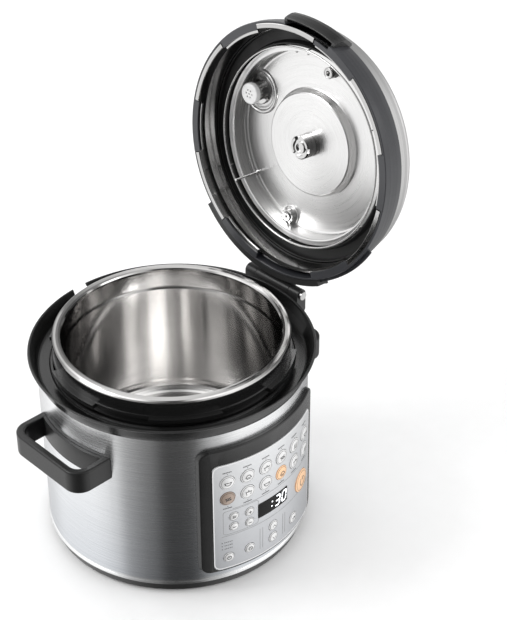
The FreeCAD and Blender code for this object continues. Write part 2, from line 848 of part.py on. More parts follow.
def pressure_lid():
    """The load-bearing steel disc, with the stud for the inner plate welded in."""
    plate = revolve(
        [
            (4.4, 249.4),
            (107.6, 249.4),
            (109.6, 247.6),
            (109.6, 237.8),
            (123.7, 237.8),
            (123.7, 239.4),
            (111.2, 239.4),
            (111.2, 248.4),
            (108.4, 251.0),
            (4.4, 251.0),
        ]
    )
    for radius, azimuth, hole in lid_fittings():
        px, py = polar(radius, azimuth)
        plate = plate.cut(disc(hole, 240, 260, px, py))
    stud = disc(3.25, 224.6, 256.0)
    shoulder = disc(8.0, DISC_Z + PLATE_T + SEAT, 250.0)
    return plate.fuse(shoulder).fuse(stud).fuse(vent_pipe())


def lid_fittings():
    """Holes through the pressure disc: (radius, azimuth, hole radius)."""
    return [
        (VALVE_R, VALVE_AZ, 5.0),
        (FLOAT_R, FLOAT_AZ, 3.0),
        (SAFETY_R, SAFETY_AZ, 4.0),
    ]


def sealing_ring():
    """Rubber seal over the pot's rim, with an inner and an outer lip."""
    low = RIM_TOP + 0.6
    return revolve(
        [
            (106.0, 224.0),
            (107.4, 224.0),
            (108.8, 228.2),
            (109.6, low),
            (120.2, low),
            (120.4, 226.4),
            (121.6, 226.4),
            (121.9, 232.0),
            (121.6, 237.4),
            (112.0, 237.4),
            (111.6, 234.6),
            (109.2, 234.6),
            (108.9, 237.2),
            (106.2, 237.2),
        ]
    )


def seal_retainer():
    """Bright wire on six posts that holds the seal."""
    wire = Part.makeTorus(104.6, 0.95, Vec(0, 0, 219.4))
    posts = []
    for azimuth in range(-150, 180, 60):
        x, y = polar(105.4, azimuth)
        posts.append(disc(0.6, 219.4, 224.6, x, y))
    return wire.fuse(posts)


def inner_lid_plate():
    """Dished steel plate: flat lip, upright wall, flat floor and raised centre."""
    t = PLATE_T
    floor, lip, wall = PLATE_FLOOR, PLATE_LIP, PLATE_WALL_R
    plate = revolve(
        [
            (5.4, DISC_Z),
            (DISC_R, DISC_Z),
            (DISC_R + 1.2, DISC_Z + 0.8),
            (DISC_R + 3.6, floor - 0.8),
            (DISC_R + 5.0, floor),
            (wall - 3.2, floor),
            (wall - 1.5, floor - 0.5),
            (wall - 0.4, floor - 1.7),
            (wall, floor - 3.4),
            (wall, lip + 1.4),
            (wall + 0.4, lip + 0.4),
            (wall + 1.4, lip),
            (PLATE_R - 0.4, lip),
            (PLATE_R, lip + 0.5),
            (PLATE_R - 0.6, lip + 1.0),
            (wall + 1.4, lip + 1.0),
            (wall + t, lip + 1.6),
            (wall + t, floor - 3.4),
            (wall + 0.2, floor - 1.2),
            (wall - 1.0, floor + 0.2),
            (wall - 3.2, floor + t),
            (DISC_R + 4.6, floor + t),
            (DISC_R + 2.8, floor - 0.2),
            (DISC_R + 0.5, DISC_Z + 1.4),
            (DISC_R - 0.4, DISC_Z + t),
            (5.4, DISC_Z + t),
        ]
    )
    plate = plate.fuse(plate_bead(VALVE_R, VALVE_AZ, 22.5, 2.4))
    plate = plate.fuse(plate_bead(VALVE_R, VALVE_AZ, 18.0, 1.0))
    plate = plate.fuse(plate_bead(FLOAT_R, FLOAT_AZ, 10.0, 1.6))
    for radius, azimuth, hole in lid_fittings():
        px, py = polar(radius, azimuth)
        plate = plate.cut(disc(hole + 2.4, 240, 252, px, py))
    plate = plate.fuse(float_cage())
    px, py = polar(PIN_AT_R, PIN_AZ)
    plate = plate.fuse(disc(1.1, PIN_TIP_Z, floor + 0.4, px, py))
    plate = plate.fuse(disc(1.9, floor - 3.0, floor + 0.4, px, py))
    for radius, azimuth in PLATE_HOOKS:
        px, py = polar(radius, azimuth)
        plate = plate.fuse(disc(0.9, floor - 7.0, floor + 0.4, px, py))
        plate = plate.fuse(Part.makeSphere(1.5, Vec(px, py, floor - 7.0)))
    return plate


def plate_bead(radius, azimuth, size, height):
    """Round pressed bead on the plate's floor, cut off where it meets the wall."""
    px, py = polar(radius, azimuth)
    bead = Part.makeTorus(size, height, Vec(px, py, PLATE_FLOOR + 0.4))
    inside = disc(PLATE_WALL_R + 0.3, PLATE_FLOOR - 6, PLATE_FLOOR + 0.5)
    return bead.common(inside)


def float_cage():
    """Slotted collar round the float, standing on the plate."""
    px, py = polar(FLOAT_R, FLOAT_AZ)
    cage = disc(7.6, PLATE_FLOOR - 6.6, PLATE_FLOOR + 0.4).cut(
        disc(5.4, PLATE_FLOOR - 8, PLATE_FLOOR + 2)
    )
    for slot in around(box(-0.9, 0.9, -9, -6.4, PLATE_FLOOR - 8, PLATE_FLOOR - 2.0), 10):
        cage = cage.cut(slot)
    cage.translate(Vec(px, py, 0))
    return cage.common(disc(PLATE_WALL_R + 0.4, 200, 260))


def centre_nut():
    """Turned steel nut that clamps the plate, on a stud from the pressure disc."""
    nut = disc(NUT_R, NUT_Z, DISC_Z - SEAT)
    nut = nut.makeChamfer(1.2, [e for e in nut.Edges if e.BoundBox.ZMax < NUT_Z + 1])
    nut = nut.cut(ring(6.2, 8.8, NUT_Z - 1, NUT_Z + 2.0))
    nut = nut.cut(ring(NUT_R - 0.9, NUT_R + 1, DISC_Z - 2.6, DISC_Z - 1.6))
    for slot in around(box(-2.4, 2.4, -NUT_R - 1, -8.4, NUT_Z - 1, NUT_Z + 2.4), 3):
        nut = nut.cut(slot)
    nut = nut.cut(disc(4.6, NUT_Z - 1, NUT_Z + 1.4))
    return nut.cut(disc(3.3, NUT_Z - 1, 240.0))


def vent_pipe():
    """Vent pipe with a fluted neck and clamping flange on the food side."""
    x, y = polar(VALVE_R, VALVE_AZ)
    neck = disc(9.6, 231.2, 243.8)
    for flute in around(disc(1.0, 234.6, 242.6, 0, -9.9), 16):
        neck = neck.cut(flute)
    flange = disc(14.6, 243.6, PLATE_FLOOR - SEAT)
    flange = flange.makeChamfer(1.2, [e for e in flange.Edges if e.BoundBox.ZMax < 243.7])
    pipe = disc(4.9, 240.0, 262.0).fuse(neck).fuse(flange)
    pipe = pipe.fuse(disc(8.4, 250.0, 254.0))
    pipe = pipe.cut(disc(2.0, 230, 270))
    pipe.translate(Vec(x, y, 0))
    return pipe.common(disc(PLATE_WALL_R - 2.8, 225, 270))


def anti_block_cap():
    """Perforated cap that keeps food out of the vent pipe."""
    x, y = polar(VALVE_R, VALVE_AZ)
    cap = disc(11.3, 228.6, 234.2)
    cap = cap.makeFillet(1.6, [e for e in cap.Edges if e.BoundBox.ZMax < 229])
    cap = cap.cut(disc(9.65, 230.4, 235.0))
    for radius, count in ((0.0, 1), (4.0, 6)):
        for i in range(count):
            hx, hy = polar(radius, 360.0 * i / count)
            cap = cap.cut(disc(0.9, 220, 232, hx, hy))
    cap.translate(Vec(x, y, 0))
    return cap


def steam_release_knob():
    """Weighted knob over the vent pipe, on the top of the lid."""
    x, y = polar(VALVE_R, VALVE_AZ)
    top = COVER_TOP + 5.0
    knob = disc(10.6, 257.0, top)
    knob = knob.makeFillet(2.0, [e for e in knob.Edges if e.BoundBox.ZMin > top - 0.5])
    knob = knob.cut(disc(5.0, 250, 262.6)).cut(disc(9.4, 250, 259.0))
    knob.translate(Vec(x, y, 0))
    return knob


def float_valve():
    """Small plug that pressure lifts."""
    x, y = polar(FLOAT_R, FLOAT_AZ)
    plug = disc(2.6, 240.5, 252.6).fuse(disc(4.6, 238.0, 241.4))
    plug = plug.cut(disc(1.6, 237, 240))
    plug.translate(Vec(x, y, 0))
    return plug


def safety_valve():
    """Ribbed over-pressure plug with a bored nose and a bright clip ring."""
    x, y = polar(SAFETY_R, SAFETY_AZ)
    plug = disc(6.0, 240.0, 249.35)
    for groove in around(disc(0.8, 241.6, 246.0, 0, -6.2), 10):
        plug = plug.cut(groove)
    plug = plug.fuse(disc(3.9, 249.0, 254.0)).fuse(disc(4.4, 237.0, 240.5))
    plug = plug.fuse(Part.makeTorus(5.0, 0.9, Vec(0, 0, 237.6)))
    plug = plug.cut(disc(2.7, 236, 241.0))
    plug.translate(Vec(x, y, 0))
    return plug


def main():
    os.makedirs("parts", exist_ok=True)
    fixed = {
        "outer_housing": outer_housing(),
        "base_cover": base_cover(),
        "rubber_feet": rubber_feet(),
        "chassis_plate": chassis_plate(),
        "top_collar": top_collar(),
        "outer_pot": outer_pot(),
        "heating_plate": heating_plate(),
        "temperature_sensor": temperature_sensor(),
        "sensor_spring": sensor_spring(),
        "inner_pot": inner_pot(),
        "left_handle": handle(),
        "right_handle": turned(handle(), 180),
        "housing_screws": housing_screws(),
        "control_panel_housing": control_panel_housing(),
        "panel_overlay": panel_overlay(),
        "display_window": display_window(),
        "display_module": display_module(),
        "control_board": control_board(),
        "power_inlet": power_inlet(),
        "power_board": power_board(),
        "collector_mount": collector_mount(),
        "condensation_collector": condensation_collector(),
        "hinge_base": hinge_base(),
        "hinge_pin": hinge_pin(),
    }
    lid = {
        "lid_carrier": lid_carrier(),
        "lid_rim": lid_rim(),
        "lid_grip": lid_grip(),
        "lid_cover": lid_cover(),
        "lid_locking_ring": lid_locking_ring(),
        "pressure_lid": pressure_lid(),
        "sealing_ring": sealing_ring(),
        "seal_retainer": seal_retainer(),
        "inner_lid_plate": inner_lid_plate(),
        "centre_nut": centre_nut(),
        "anti_block_cap": anti_block_cap(),
        "steam_release_knob": steam_release_knob(),
        "float_valve": float_valve(),
        "safety_valve": safety_valve(),
    }
    for name, shape in fixed.items():
        save(name, shape)
    for name, shape in lid.items():
        save(name, opened(shape))
    for name, azimuth, z, radius in button_table():
        save(name, button(azimuth, z, radius))


main()
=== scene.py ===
"""Looks of the electric pressure cooker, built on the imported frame.

Metres, +Z up, panel at -Y, hinge at +X.  Every finish is a procedural material.  The small
pieces made here are the panel's printed marks, the marks on the buttons, the panel's lamps
and the display digits.
"""

import json
import math

import bpy
from mathutils import Matrix, Vector


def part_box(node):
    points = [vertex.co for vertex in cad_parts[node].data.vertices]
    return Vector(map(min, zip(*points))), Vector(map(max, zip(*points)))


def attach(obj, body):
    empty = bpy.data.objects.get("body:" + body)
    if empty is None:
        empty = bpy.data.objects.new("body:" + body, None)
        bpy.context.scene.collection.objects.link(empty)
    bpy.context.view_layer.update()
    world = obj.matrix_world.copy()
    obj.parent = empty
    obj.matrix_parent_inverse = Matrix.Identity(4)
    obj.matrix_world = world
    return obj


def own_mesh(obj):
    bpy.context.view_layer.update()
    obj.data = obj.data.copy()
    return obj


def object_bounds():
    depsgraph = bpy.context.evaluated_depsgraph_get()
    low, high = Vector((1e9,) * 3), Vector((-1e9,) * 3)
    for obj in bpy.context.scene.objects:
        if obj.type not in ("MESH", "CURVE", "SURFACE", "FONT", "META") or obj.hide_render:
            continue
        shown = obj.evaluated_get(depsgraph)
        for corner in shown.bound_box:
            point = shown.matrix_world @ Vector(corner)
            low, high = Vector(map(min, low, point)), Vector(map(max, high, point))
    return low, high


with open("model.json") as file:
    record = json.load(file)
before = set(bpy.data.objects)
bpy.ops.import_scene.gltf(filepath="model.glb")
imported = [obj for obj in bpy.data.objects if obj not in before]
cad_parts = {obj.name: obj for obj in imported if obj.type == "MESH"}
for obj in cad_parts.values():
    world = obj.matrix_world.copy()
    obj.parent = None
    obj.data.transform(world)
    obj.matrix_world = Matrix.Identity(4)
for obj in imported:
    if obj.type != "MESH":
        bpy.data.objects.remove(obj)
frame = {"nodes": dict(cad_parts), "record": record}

NODES = frame["nodes"]
CAD_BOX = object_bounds()
MM = 0.001

# ---------------- measures taken from the frame ----------------

JOINTS = {j["name"]: j for j in frame["record"]["behaviour"]["joints"]}
FASCIA_LOW, FASCIA_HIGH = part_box("panel_overlay")
FASCIA_R = -FASCIA_LOW[1]
WINDOW_LOW, WINDOW_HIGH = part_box("display_window")
WINDOW_R = -WINDOW_LOW[1]
LID_CENTRE = Vector(JOINTS["lid_turn"]["pos_m"])
LID_AXIS = Vector(JOINTS["lid_turn"]["axis"])
LID_TILT = math.atan2(LID_AXIS.x, LID_AXIS.z)


# ---------------- node helpers ----------------


class Shader:
    """A material with one Principled shader and short ways to add nodes to it."""

    def __init__(self, name, **values):
        self.material = bpy.data.materials.new(name)
        self.material.use_nodes = True
        self.tree = self.material.node_tree
        self.principled = self.tree.nodes["Principled BSDF"]
        self.set(self.principled, values)

    def set(self, node, values):
        for key, value in values.items():
            node.inputs[key.replace("_", " ")].default_value = value

    def add(self, kind, props=None, **values):
        node = self.tree.nodes.new(kind)
        for key, value in (props or {}).items():
            setattr(node, key, value)
        self.set(node, values)
        return node

    def link(self, output, target):
        self.tree.links.new(output, target)

    def feed(self, key, output):
        self.link(output, self.principled.inputs[key])

    def maths(self, operation, first, second=None):
        node = self.add("ShaderNodeMath", {"operation": operation})
        for slot, value in enumerate((first, second)):
            if value is None:
                continue
            if isinstance(value, (int, float)):
                node.inputs[slot].default_value = value
            else:
                self.link(value, node.inputs[slot])
        return node.outputs[0]

    def place(self):
        return self.add("ShaderNodeTexCoord").outputs["Object"]

    def stretched(self, vector, scale):
        node = self.add("ShaderNodeMapping")
        node.inputs["Scale"].default_value = scale
        self.link(vector, node.inputs["Vector"])
        return node.outputs[0]

    def lid_place(self):
        """Object coordinates turned so that Z is the lid's own axis."""
        node = self.add("ShaderNodeMapping", {"vector_type": "TEXTURE"})
        node.inputs["Location"].default_value = LID_CENTRE
        node.inputs["Rotation"].default_value = (0.0, LID_TILT, 0.0)
        self.link(self.place(), node.inputs["Vector"])
        return node.outputs[0]

    def lathe(self, vector, pitch):
        """Coordinates that change only across turning marks round the Z axis."""
        parts = self.add("ShaderNodeSeparateXYZ")
        self.link(vector, parts.inputs[0])
        x, y, z = parts.outputs
        square = self.maths("ADD", self.maths("MULTIPLY", x, x), self.maths("MULTIPLY", y, y))
        radius = self.maths("SQRT", square)
        angle = self.maths("ARCTAN2", y, x)
        join = self.add("ShaderNodeCombineXYZ")
        self.link(self.maths("MULTIPLY", radius, pitch), join.inputs[0])
        self.link(self.maths("MULTIPLY", z, pitch), join.inputs[1])
        self.link(self.maths("MULTIPLY", angle, 1.3), join.inputs[2])
        return join.outputs[0]

    def noise(self, vector, scale=1.0, detail=3.0, rough=0.55):
        node = self.add("ShaderNodeTexNoise", Scale=scale, Detail=detail, Roughness=rough)
        self.link(vector, node.inputs["Vector"])
        return node.outputs[0]

    def ramp(self, value, stops):
        node = self.add("ShaderNodeValToRGB")
        band = node.color_ramp
        band.elements[0].position, band.elements[0].color = stops[0]
        band.elements[1].position, band.elements[1].color = stops[-1]
        for position, colour in stops[1:-1]:
            band.elements.new(position).color = colour
        self.link(value, node.inputs[0])
        return node.outputs[0]

    def between(self, value, low, high):
        node = self.add("ShaderNodeMapRange")
        node.inputs["To Min"].default_value = low
        node.inputs["To Max"].default_value = high
        node.inputs["From Min"].default_value = 0.25
        node.inputs["From Max"].default_value = 0.75
        self.link(value, node.inputs["Value"])
        return node.outputs[0]

    def bump(self, height, depth, strength=1.0, bevel=0.0):
        node = self.add("ShaderNodeBump", Strength=strength, Distance=depth)
        self.link(height, node.inputs["Height"])
        if bevel:
            edge = self.add("ShaderNodeBevel", {"samples": 4}, Radius=bevel)
            self.link(edge.outputs[0], node.inputs["Normal"])
        self.feed("Normal", node.outputs[0])


def grey(level, warm=0.0):
    return (level + warm, level, level - warm, 1.0)


def tone(value, low, high, shader):
    return shader.ramp(value, [(0.25, low), (0.75, high)])


# ---------------- materials ----------------


def brushed_shell():
    """Housing sheet, brushed round the body; its darker foot is painted shade in the colour."""
    s = Shader("housing_brushed_steel", Metallic=1.0, Anisotropic=0.7, Anisotropic_Rotation=0.25)
    place = s.place()
    fine = s.noise(s.stretched(place, (16.0, 16.0, 5200.0)), detail=2.0)
    broad = s.noise(s.stretched(place, (9.0, 9.0, 2200.0)), detail=3.0)
    wear = s.noise(place, scale=9.0, detail=4.0)
    mix = s.maths("ADD", s.maths("MULTIPLY", fine, 0.55), s.maths("MULTIPLY", broad, 0.45))
    lines = tone(mix, (0.62, 0.63, 0.64, 1.0), (0.96, 0.96, 0.96, 1.0), s)
    parts = s.add("ShaderNodeSeparateXYZ")
    s.link(place, parts.inputs[0])
    low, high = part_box("outer_housing")
    height = s.add("ShaderNodeMapRange")
    height.inputs["From Min"].default_value = low[2]
    height.inputs["From Max"].default_value = high[2]
    s.link(parts.outputs[2], height.inputs["Value"])
    # Painted shade: the housing darkens toward its foot, above a narrow band at the hem.
    painted_shade_fall = s.ramp(
        height.outputs[0],
        [
            (0.0, grey(0.95)),
            (0.022, grey(0.95)),
            (0.03, (0.68, 0.70, 0.73, 1.0)),
            (1.0, grey(1.0)),
        ],
    )
    shade = s.add("ShaderNodeMix", {"data_type": "RGBA", "blend_type": "MULTIPLY"})
    shade.inputs["Factor"].default_value = 1.0
    s.link(lines, shade.inputs["A"])
    s.link(painted_shade_fall, shade.inputs["B"])
    s.feed("Base Color", shade.outputs["Result"])
    rough = s.maths("ADD", s.between(mix, 0.20, 0.27), s.maths("MULTIPLY", wear, 0.05))
    s.feed("Roughness", rough)
    tangent = s.add("ShaderNodeTangent", {"direction_type": "RADIAL", "axis": "Z"})
    s.feed("Tangent", tangent.outputs[0])
    s.bump(fine, 0.00002, 0.5)
    return s.material


def turned_steel(name, low, high, rough, anisotropy, lid=False, pitch=2600.0):
    """Steel with lathe or spinning marks round its axis."""
    s = Shader(name, Metallic=1.0, Anisotropic=anisotropy, Anisotropic_Rotation=0.25)
    place = s.lid_place() if lid else s.place()
    marks = s.noise(s.lathe(place, pitch), detail=2.0)
    rings = s.noise(s.lathe(place, pitch / 9.0), detail=2.0)
    smears = s.noise(place, scale=14.0, detail=4.0)
    mix = s.maths("ADD", s.maths("MULTIPLY", marks, 0.6), s.maths("MULTIPLY", rings, 0.4))
    s.feed("Base Color", tone(mix, grey(low, 0.003), grey(high, 0.004), s))
    spread = s.maths("MULTIPLY", s.maths("SUBTRACT", smears, 0.5), 0.08)
    s.feed("Roughness", s.maths("ADD", s.between(mix, rough * 0.85, rough * 1.2), spread))
    axis = "X" if lid else "Z"
    tangent = s.add("ShaderNodeTangent", {"direction_type": "RADIAL", "axis": axis})
    s.feed("Tangent", tangent.outputs[0])
    s.bump(marks, 0.00001, 0.4)
    return s.material


def pot_steel():
    """Inner pot: satin floor, and a polished wall with a painted reflection that darkens two of
    its sides.
    """
    s = Shader("inner_pot_steel", Metallic=1.0, Anisotropic=0.45, Anisotropic_Rotation=0.25)
    place = s.place()
    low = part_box("inner_pot")[0]
    parts = s.add("ShaderNodeSeparateXYZ")
    s.link(place, parts.inputs[0])
    height = s.add("ShaderNodeMapRange", {"interpolation_type": "SMOOTHSTEP"})
    height.inputs["From Min"].default_value = low[2] + 0.004
    height.inputs["From Max"].default_value = low[2] + 0.012
    s.link(parts.outputs[2], height.inputs["Value"])
    marks = s.noise(s.lathe(place, 2400.0), detail=2.0)
    rings = s.noise(s.lathe(place, 900.0), detail=2.0)
    smears = s.noise(place, scale=11.0, detail=4.0)
    mix = s.maths("ADD", s.maths("MULTIPLY", marks, 0.5), s.maths("MULTIPLY", rings, 0.5))
    bright = tone(mix, grey(0.76, 0.010), grey(0.92, 0.012), s)
    # Painted reflection: by the angle round the pot, the wall darkens on two sides and stays
    # bright on two, mixed with random smears.
    turn = s.maths("ARCTAN2", parts.outputs[1], parts.outputs[0])
    painted_reflection_wave = s.maths("SINE", s.maths("MULTIPLY", turn, 2.0))
    reflection_and_smears = s.maths("ADD", s.maths("MULTIPLY", painted_reflection_wave, 0.5), s.maths("MULTIPLY", smears, 0.6))
    painted_sheen = s.ramp(reflection_and_smears, [(0.0, grey(0.24)), (0.22, grey(0.55)), (0.62, grey(1.0))])
    shade = s.add("ShaderNodeMix", {"data_type": "RGBA", "blend_type": "MULTIPLY"})
    s.link(height.outputs[0], shade.inputs["Factor"])
    s.link(bright, shade.inputs["A"])
    s.link(painted_sheen, shade.inputs["B"])
    s.feed("Base Color", shade.outputs["Result"])
    satin = s.between(mix, 0.20, 0.28)
    polish = s.maths("ADD", s.between(mix, 0.07, 0.11), s.maths("MULTIPLY", smears, 0.04))
    blend = s.add("ShaderNodeMix", {"data_type": "FLOAT"})
    s.link(height.outputs[0], blend.inputs["Factor"])
    s.link(satin, blend.inputs["A"])
    s.link(polish, blend.inputs["B"])
    s.feed("Roughness", blend.outputs["Result"])
    tangent = s.add("ShaderNodeTangent", {"direction_type": "RADIAL", "axis": "Z"})
    s.feed("Tangent", tangent.outputs[0])
    s.bump(marks, 0.00001, 0.35)
    return s.material


def moulded(name, low, high, rough, depth=0.00004, coat=0.0, bevel=0.0008, shine=0.32):
    """Moulded plastic: fine spark texture, faint flow marks and sharp edges made a touch lighter.
    """
    s = Shader(name, Coat_Weight=coat, Coat_Roughness=0.2, Specular_IOR_Level=shine)
    place = s.place()
    spark = s.noise(place, scale=2600.0, detail=2.0)
    flow = s.noise(s.stretched(place, (18.0, 18.0, 42.0)), detail=5.0)
    # Sharp outer edges are made a touch lighter than the faces.
    edge_sharpness = s.add("ShaderNodeNewGeometry").outputs["Pointiness"]
    sharp_edge_lift = s.ramp(edge_sharpness, [(0.50, grey(0.0)), (0.56, grey(1.0))])
    colour = tone(flow, low, high, s)
    lift = s.add("ShaderNodeMix", {"data_type": "RGBA", "blend_type": "ADD"})
    lift.inputs["Factor"].default_value = 0.02
    s.link(colour, lift.inputs["A"])
    s.link(sharp_edge_lift, lift.inputs["B"])
    s.feed("Base Color", lift.outputs["Result"])
    s.feed("Roughness", s.between(flow, rough * 0.88, rough * 1.12))
    s.bump(spark, depth, 0.6, bevel)
    return s.material


def rubber():
    s = Shader("seal_rubber", IOR=1.52)
    place = s.place()
    dust = s.noise(place, scale=60.0, detail=6.0)
    skin = s.noise(place, scale=1900.0, detail=3.0)
    s.feed("Base Color", tone(dust, grey(0.005), grey(0.012), s))
    s.feed("Roughness", s.between(dust, 0.42, 0.6))
    s.bump(skin, 0.00005, 0.5)
    return s.material


def coated():
    """Non-stick coat on the outer pot: dark, slightly pearly, fine speckle."""
    s = Shader("nonstick_coat", Coat_Weight=0.6, Coat_Roughness=0.12)
    place = s.place()
    speck = s.noise(place, scale=1500.0, detail=2.0)
    cloud = s.noise(place, scale=22.0, detail=4.0)
    s.feed("Base Color", tone(speck, grey(0.006), grey(0.016), s))
    s.feed("Roughness", s.between(cloud, 0.20, 0.30))
    s.bump(speck, 0.00003, 0.5, 0.0006)
    return s.material


def fascia_paint():
    """Silver fascia: metallic paint, with painted shade: a vertical change of tone, darker toward
    its lower edge.
    """
    s = Shader("fascia_silver", Metallic=0.55, Coat_Weight=0.25, Coat_Roughness=0.2)
    place = s.place()
    flake = s.noise(place, scale=2400.0, detail=1.0)
    parts = s.add("ShaderNodeSeparateXYZ")
    s.link(place, parts.inputs[0])
    # Painted shade: the fascia's tone is darker toward its lower edge and lighter toward its top.
    painted_shade_fall = s.add("ShaderNodeMapRange")
    painted_shade_fall.inputs["From Min"].default_value = FASCIA_LOW[2]
    painted_shade_fall.inputs["From Max"].default_value = FASCIA_HIGH[2]
    s.link(parts.outputs[2], painted_shade_fall.inputs["Value"])
    colour = s.ramp(
        painted_shade_fall.outputs[0],
        [
            (0.0, (0.46, 0.47, 0.49, 1.0)),
            (0.5, (0.58, 0.59, 0.61, 1.0)),
            (1.0, (0.72, 0.73, 0.74, 1.0)),
        ],
    )
    mix = s.add("ShaderNodeMix", {"data_type": "RGBA", "blend_type": "SOFT_LIGHT"})
    mix.inputs["Factor"].default_value = 0.35
    s.link(colour, mix.inputs["A"])
    s.link(s.ramp(flake, [(0.3, grey(0.35)), (0.7, grey(0.65))]), mix.inputs["B"])
    s.feed("Base Color", mix.outputs["Result"])
    s.feed("Roughness", s.between(flake, 0.30, 0.40))
    s.bump(flake, 0.00001, 0.4)
    return s.material


def button_skin(name, low, high, glow=None):
    """Satin key cap with a brushed-in tone; some are lit from behind."""
    s = Shader(name, Metallic=0.35, Coat_Weight=0.3, Coat_Roughness=0.2)
    if glow:
        s.set(s.principled, {"Emission_Color": glow, "Emission_Strength": 0.18})
    place = s.place()
    grain = s.noise(place, scale=900.0, detail=3.0)
    s.feed("Base Color", tone(grain, low, high, s))
    s.feed("Roughness", s.between(grain, 0.28, 0.40))
    s.bump(grain, 0.00002, 0.4)
    return s.material


def window_glass():
    s = Shader("display_glass", Specular_IOR_Level=0.12)
    place = s.place()
    haze = s.noise(place, scale=120.0, detail=3.0)
    s.feed("Base Color", tone(haze, grey(0.001), grey(0.004), s))
    s.feed("Roughness", s.between(haze, 0.20, 0.30))
    return s.material


def printed(name, low, high):
    s = Shader(name)
    ink = s.noise(s.place(), scale=1400.0, detail=3.0)
    s.feed("Base Color", tone(ink, low, high, s))
    s.feed("Roughness", s.between(ink, 0.45, 0.6))
    return s.material


def lit(name, colour, strength):
    s = Shader(name, Emission_Color=colour, Emission_Strength=strength)
    cell = s.noise(s.place(), scale=2600.0, detail=1.0)
    s.feed("Base Color", tone(cell, colour, (1.0, 1.0, 1.0, 1.0), s))
    s.feed("Roughness", s.between(cell, 0.3, 0.4))
    return s.material


def board():
    s = Shader("circuit_board", Coat_Weight=0.4, Coat_Roughness=0.2)
    place = s.place()
    tracks = s.add("ShaderNodeTexVoronoi", {"feature": "DISTANCE_TO_EDGE"}, Scale=260.0)
    s.link(place, tracks.inputs["Vector"])
    line = s.ramp(
        tracks.outputs[0], [(0.03, (0.10, 0.24, 0.08, 1.0)), (0.08, (0.01, 0.09, 0.04, 1.0))]
    )
    s.feed("Base Color", line)
    s.feed("Roughness", s.between(s.noise(place, scale=300.0), 0.3, 0.45))
    return s.material


def floor_paper():
    s = Shader("studio_paper")
    tooth = s.noise(s.place(), scale=40.0, detail=5.0)
    s.feed("Base Color", tone(tooth, grey(0.94), grey(0.97), s))
    s.feed("Roughness", s.between(tooth, 0.7, 0.85))
    return s.material


SLATE_LOW = (0.017, 0.018, 0.022, 1.0)
SLATE_HIGH = (0.027, 0.028, 0.033, 1.0)

FINISHES = {
    "shell": brushed_shell(),
    "pot": pot_steel(),
    "plate": turned_steel("lid_plate_steel", 0.64, 0.82, 0.28, 0.5, lid=True, pitch=3400.0),
    "lid_cover": turned_steel("lid_cover_steel", 0.60, 0.76, 0.30, 0.6, lid=True),
    "ring": turned_steel("locking_ring_steel", 0.40, 0.58, 0.13, 0.4, lid=True, pitch=1800.0),
    "bright": turned_steel("bright_steel", 0.52, 0.64, 0.14, 0.2, lid=True, pitch=4000.0),
    "collar": moulded("collar_plastic", grey(0.004), grey(0.008), 0.24, coat=0.3),
    "handle": moulded("handle_plastic", grey(0.005), grey(0.009), 0.30),
    "frame": moulded("panel_frame_plastic", grey(0.004), grey(0.008), 0.22, coat=0.3),
    "black": moulded("black_plastic", grey(0.005), grey(0.010), 0.30),
    "rim": moulded("lid_rim_plastic", SLATE_LOW, SLATE_HIGH, 0.30, coat=0.3),
    "smoke": moulded("smoked_plastic", grey(0.05), grey(0.08), 0.18, depth=0.00001, coat=0.5),
    "white": moulded("white_plastic", grey(0.74), grey(0.82), 0.35, depth=0.00002),
    "rubber": rubber(),
    "coat": coated(),
    "fascia": fascia_paint(),
    "button": button_skin("button_silver", grey(0.74), grey(0.88)),
    "amber": button_skin(
        "button_amber", (0.78, 0.50, 0.30, 1.0), (0.90, 0.62, 0.40, 1.0), (1.0, 0.50, 0.20, 1.0)
    ),
    "bronze": button_skin("button_bronze", (0.34, 0.26, 0.21, 1.0), (0.46, 0.36, 0.30, 1.0)),
    "glass": window_glass(),
    "ink": printed("panel_ink", grey(0.03), grey(0.07)),
    "rule_ink": printed("panel_rule_ink", grey(0.22), grey(0.30)),
    "white_ink": printed("panel_white_ink", grey(0.80), grey(0.90)),
    "digits": lit("display_light", (0.92, 0.96, 1.0, 1.0), 2.2),
    "board": board(),
    "zinc": turned_steel("zinc_steel", 0.42, 0.58, 0.30, 0.0, pitch=1500.0),
    "cast": turned_steel("cast_aluminium", 0.45, 0.60, 0.42, 0.0, pitch=900.0),
}

NODE_FINISH = {
    "outer_housing": "shell",
    "base_cover": "black",
    "rubber_feet": "rubber",
    "housing_screws": "zinc",
    "chassis_plate": "zinc",
    "top_collar": "collar",
    "outer_pot": "coat",
    "heating_plate": "cast",
    "sensor_spring": "zinc",
    "left_handle": "handle",
    "right_handle": "handle",
    "control_panel_housing": "frame",
    "panel_overlay": "fascia",
    "display_window": "glass",
    "display_module": "black",
    "control_board": "board",
    "power_inlet": "black",
    "power_board": "board",
    "collector_mount": "black",
    "hinge_base": "black",
    "hinge_pin": "zinc",
    "inner_pot": "pot",
    "temperature_sensor": "cast",
    "condensation_collector": "smoke",
    "lid_carrier": "black",
    "lid_rim": "rim",
    "lid_grip": "frame",
    "lid_cover": "lid_cover",
    "lid_locking_ring": "ring",
    "pressure_lid": "bright",
    "sealing_ring": "rubber",
    "seal_retainer": "bright",
    "inner_lid_plate": "plate",
    "centre_nut": "bright",
    "anti_block_cap": "white",
    "safety_valve": "bright",
    "float_valve": "bright",
    "steam_release_knob": "black",
    "start_stop_button": "amber",
    "menu_button_7": "bronze",
    "menu_button_10": "amber",
}


def paint_frame():
    for name, node in NODES.items():
        finish = FINISHES[NODE_FINISH.get(name, "button")]
        for slot in node.material_slots:
            slot.material = finish
        if not node.material_slots:
            node.data.materials.append(finish)


def squeeze_spring():
    """Gives the coil under the temperature sensor its own mesh; the sensor's press travel is read
    but not used.
    """
    spring = NODES["sensor_spring"]
    travel = -min(JOINTS["temperature_sensor_press"]["range_m"])
    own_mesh(spring)


